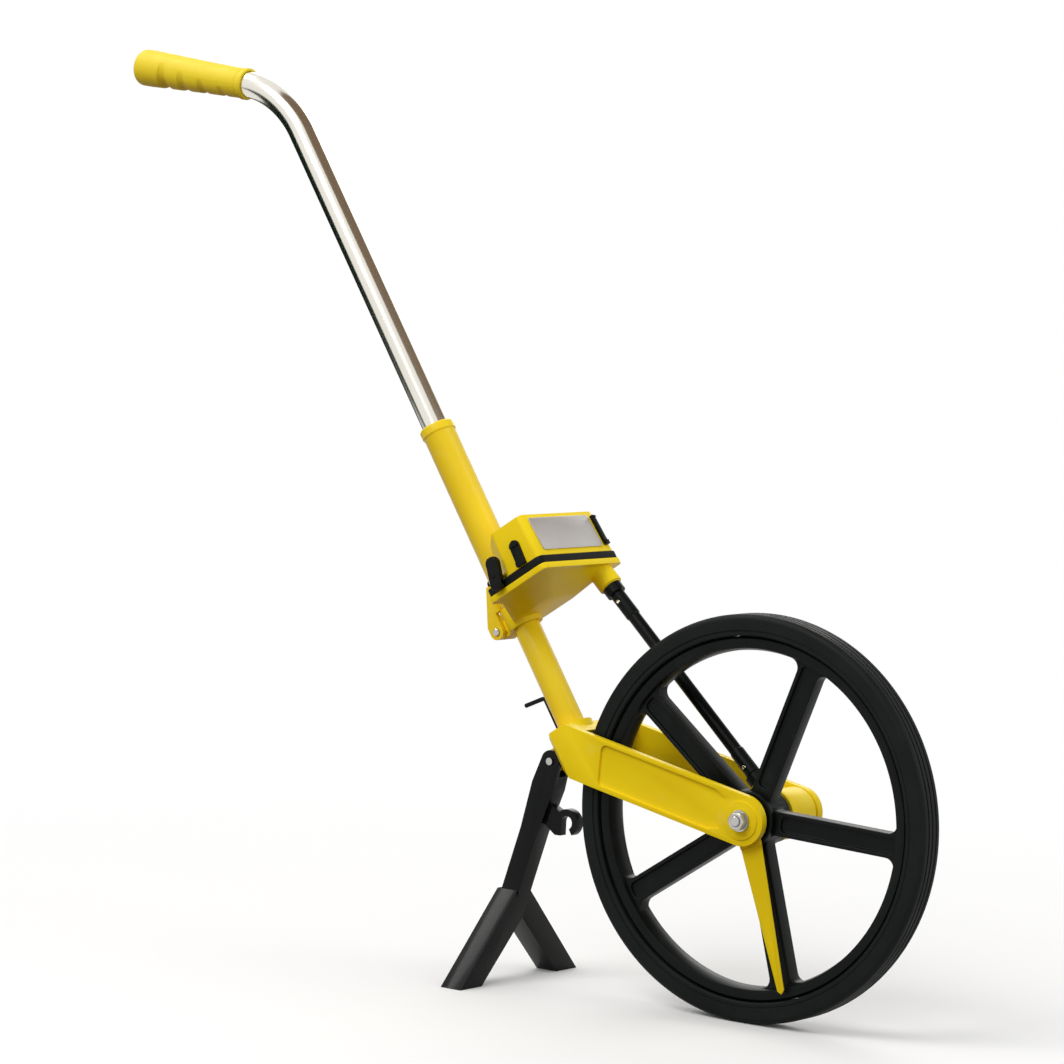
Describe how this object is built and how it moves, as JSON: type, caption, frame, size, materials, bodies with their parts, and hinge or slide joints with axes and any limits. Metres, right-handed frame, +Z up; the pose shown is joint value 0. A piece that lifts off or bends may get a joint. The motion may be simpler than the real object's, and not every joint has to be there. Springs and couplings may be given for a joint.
{
  "type": "measuring wheel",
  "caption": "Walking distance-measuring wheel: spoked wheel in a fork, geared to a drum counter, with a folding bent handle and a folding two-footed stand.",
  "frame": {"origin": "The point on the ground under the axle, in the wheel's middle plane, on the flat of the tyre.", "axes": "+X is the way the wheel is pushed, away from the handle; +Y is the object's left side, where the gears are; +Z is up."},
  "size_m": [0.8273, 0.158, 0.7437],
  "materials": {
    "yellow": "gloss yellow enamel on cast and drawn metal",
    "grip_yellow": "matt yellow moulded plastic",
    "black": "satin black moulded plastic",
    "gloss_black": "gloss black enamel",
    "rubber": "black rubber",
    "chrome": "bright chrome plate",
    "steel": "turned steel",
    "brass": "plain brass",
    "silver": "satin aluminium plate, bare",
    "white": "white plastic",
    "red": "red plastic",
    "clear": "clear lens",
    "yellow_casting": "gloss yellow enamel over cast aluminium"
  },
  "bodies": {
    "chassis": {"fork": "yellow_casting", "lower_tube": "yellow", "axle": "steel", "axle_nut_left": "chrome", "axle_nut_right": "chrome", "axle_washer_left": "steel", "axle_washer_right": "steel", "pointer_spacer": "steel", "gear_box": "yellow_casting", "lower_bush": "black", "upper_bush": "black", "housing_base": "yellow_casting", "housing_seal": "rubber", "counter_cover": "yellow_casting", "counter_window": "clear", "front_plate": "silver", "cover_screw_left": "steel", "cover_screw_right": "steel", "cover_clip_left": "black", "cover_clip_right": "black", "drum_frame": "steel", "carry_shaft": "steel", "fold_pin": "steel"},
    "wheel": {"tyre": "rubber", "wheel_moulding": "black", "hub_bearing_left": "steel", "hub_bearing_right": "steel", "hub_gear": "steel"},
    "drive": {"drive_rod": "black", "lower_spindle": "steel", "upper_spindle": "steel", "lower_drive_pin": "chrome", "upper_drive_pin": "chrome", "lower_pinion": "steel", "upper_pinion": "steel"},
    "handle": {"upper_tube": "yellow", "handle_tube": "chrome", "grip": "grip_yellow", "handle_rivet": "steel"},
    "drum_1": {"digit_drum_1": "red", "drum_shaft": "steel", "counter_gear": "steel"},
    "drum_2": {"digit_drum_2": "white"},
    "drum_3": {"digit_drum_3": "white"},
    "drum_4": {"digit_drum_4": "white"},
    "drum_5": {"digit_drum_5": "white"},
    "carry_1": {"carry_pinion_1": "brass"},
    "carry_2": {"carry_pinion_2": "brass"},
    "carry_3": {"carry_pinion_3": "brass"},
    "carry_4": {"carry_pinion_4": "brass"},
    "pointer": {"pointer": "yellow"},
    "reset": {"reset_lever": "black", "reset_shaft": "steel"},
    "fold_button": {"fold_button": "black"},
    "stand": {"stand": "gloss_black", "stand_pin": "steel"},
    "stand_catch": {"stand_catch": "gloss_black"}
  },
  "joints": [
    {"name": "wheel_spin", "type": "hinge", "parent": "chassis", "child": "wheel", "pos_m": [0, 0, 0.15903], "axis": [0, 1, 0], "continuous": true},
    {"name": "drive_spin", "type": "hinge", "parent": "chassis", "child": "drive", "pos_m": [0, 0.04, 0.15903], "axis": [-0.7316, 0, 0.6818], "continuous": true},
    {"name": "drum_1_spin", "type": "hinge", "parent": "chassis", "child": "drum_1", "pos_m": [-0.21189, 0.005, 0.3565], "axis": [0, 1, 0], "continuous": true},
    {"name": "drum_2_spin", "type": "hinge", "parent": "chassis", "child": "drum_2", "pos_m": [-0.21189, 0.005, 0.3565], "axis": [0, 1, 0], "continuous": true},
    {"name": "drum_3_spin", "type": "hinge", "parent": "chassis", "child": "drum_3", "pos_m": [-0.21189, 0.005, 0.3565], "axis": [0, 1, 0], "continuous": true},
    {"name": "drum_4_spin", "type": "hinge", "parent": "chassis", "child": "drum_4", "pos_m": [-0.21189, 0.005, 0.3565], "axis": [0, 1, 0], "continuous": true},
    {"name": "drum_5_spin", "type": "hinge", "parent": "chassis", "child": "drum_5", "pos_m": [-0.21189, 0.005, 0.3565], "axis": [0, 1, 0], "continuous": true},
    {"name": "carry_1_spin", "type": "hinge", "parent": "chassis", "child": "carry_1", "pos_m": [-0.20047, 0.005, 0.35073], "axis": [0, 1, 0], "continuous": true},
    {"name": "carry_2_spin", "type": "hinge", "parent": "chassis", "child": "carry_2", "pos_m": [-0.20047, 0.005, 0.35073], "axis": [0, 1, 0], "continuous": true},
    {"name": "carry_3_spin", "type": "hinge", "parent": "chassis", "child": "carry_3", "pos_m": [-0.20047, 0.005, 0.35073], "axis": [0, 1, 0], "continuous": true},
    {"name": "carry_4_spin", "type": "hinge", "parent": "chassis", "child": "carry_4", "pos_m": [-0.20047, 0.005, 0.35073], "axis": [0, 1, 0], "continuous": true},
    {"name": "handle_fold", "type": "hinge", "parent": "chassis", "child": "handle", "pos_m": [-0.25387, 0.005, 0.28003], "axis": [0, 1, 0], "range_deg": [-150, 0]},
    {"name": "fold_button_push", "type": "slide", "parent": "handle", "child": "fold_button", "axis": [0.8368, 0, 0.5476], "range_m": [0, 0.002], "stiffness_N_per_m": 500, "springref_m": -0.001},
    {"name": "pointer_swing", "type": "hinge", "parent": "chassis", "child": "pointer", "pos_m": [0, 0, 0.15903], "axis": [0, 1, 0], "range_deg": [-90, 90]},
    {"name": "reset_pull", "type": "hinge", "parent": "chassis", "child": "reset", "pos_m": [-0.22405, 0.005, 0.32942], "axis": [0, -1, 0], "range_deg": [0, 45], "stiffness_Nm_per_rad": 0.08, "springref_deg": -17.19},
    {"name": "stand_fold", "type": "hinge", "parent": "chassis", "child": "stand", "pos_m": [-0.19647, 0.005, 0.18135], "axis": [0, 1, 0], "range_deg": [0, 112]},
    {"name": "catch_flex", "type": "hinge", "parent": "chassis", "child": "stand_catch", "pos_m": [-0.19238, 0.005, 0.20232], "axis": [0.8368, 0, 0.5476], "range_deg": [0, 8], "stiffness_Nm_per_rad": 0.5, "springref_deg": -5.73}
  ],
  "couplings": [
    {"joint": "drive_spin", "follows": "wheel_spin", "ratio": 1},
    {"joint": "drum_1_spin", "follows": "wheel_spin", "ratio": -1},
    {"joint": "drum_2_spin", "follows": "wheel_spin", "ratio": -0.1},
    {"joint": "drum_3_spin", "follows": "wheel_spin", "ratio": -0.01},
    {"joint": "drum_4_spin", "follows": "wheel_spin", "ratio": -0.001},
    {"joint": "drum_5_spin", "follows": "wheel_spin", "ratio": -0.0001},
    {"joint": "carry_1_spin", "follows": "wheel_spin", "ratio": 0.25},
    {"joint": "carry_2_spin", "follows": "wheel_spin", "ratio": 0.025},
    {"joint": "carry_3_spin", "follows": "wheel_spin", "ratio": 0.0025},
    {"joint": "carry_4_spin", "follows": "wheel_spin", "ratio": 0.00025}
  ]
}
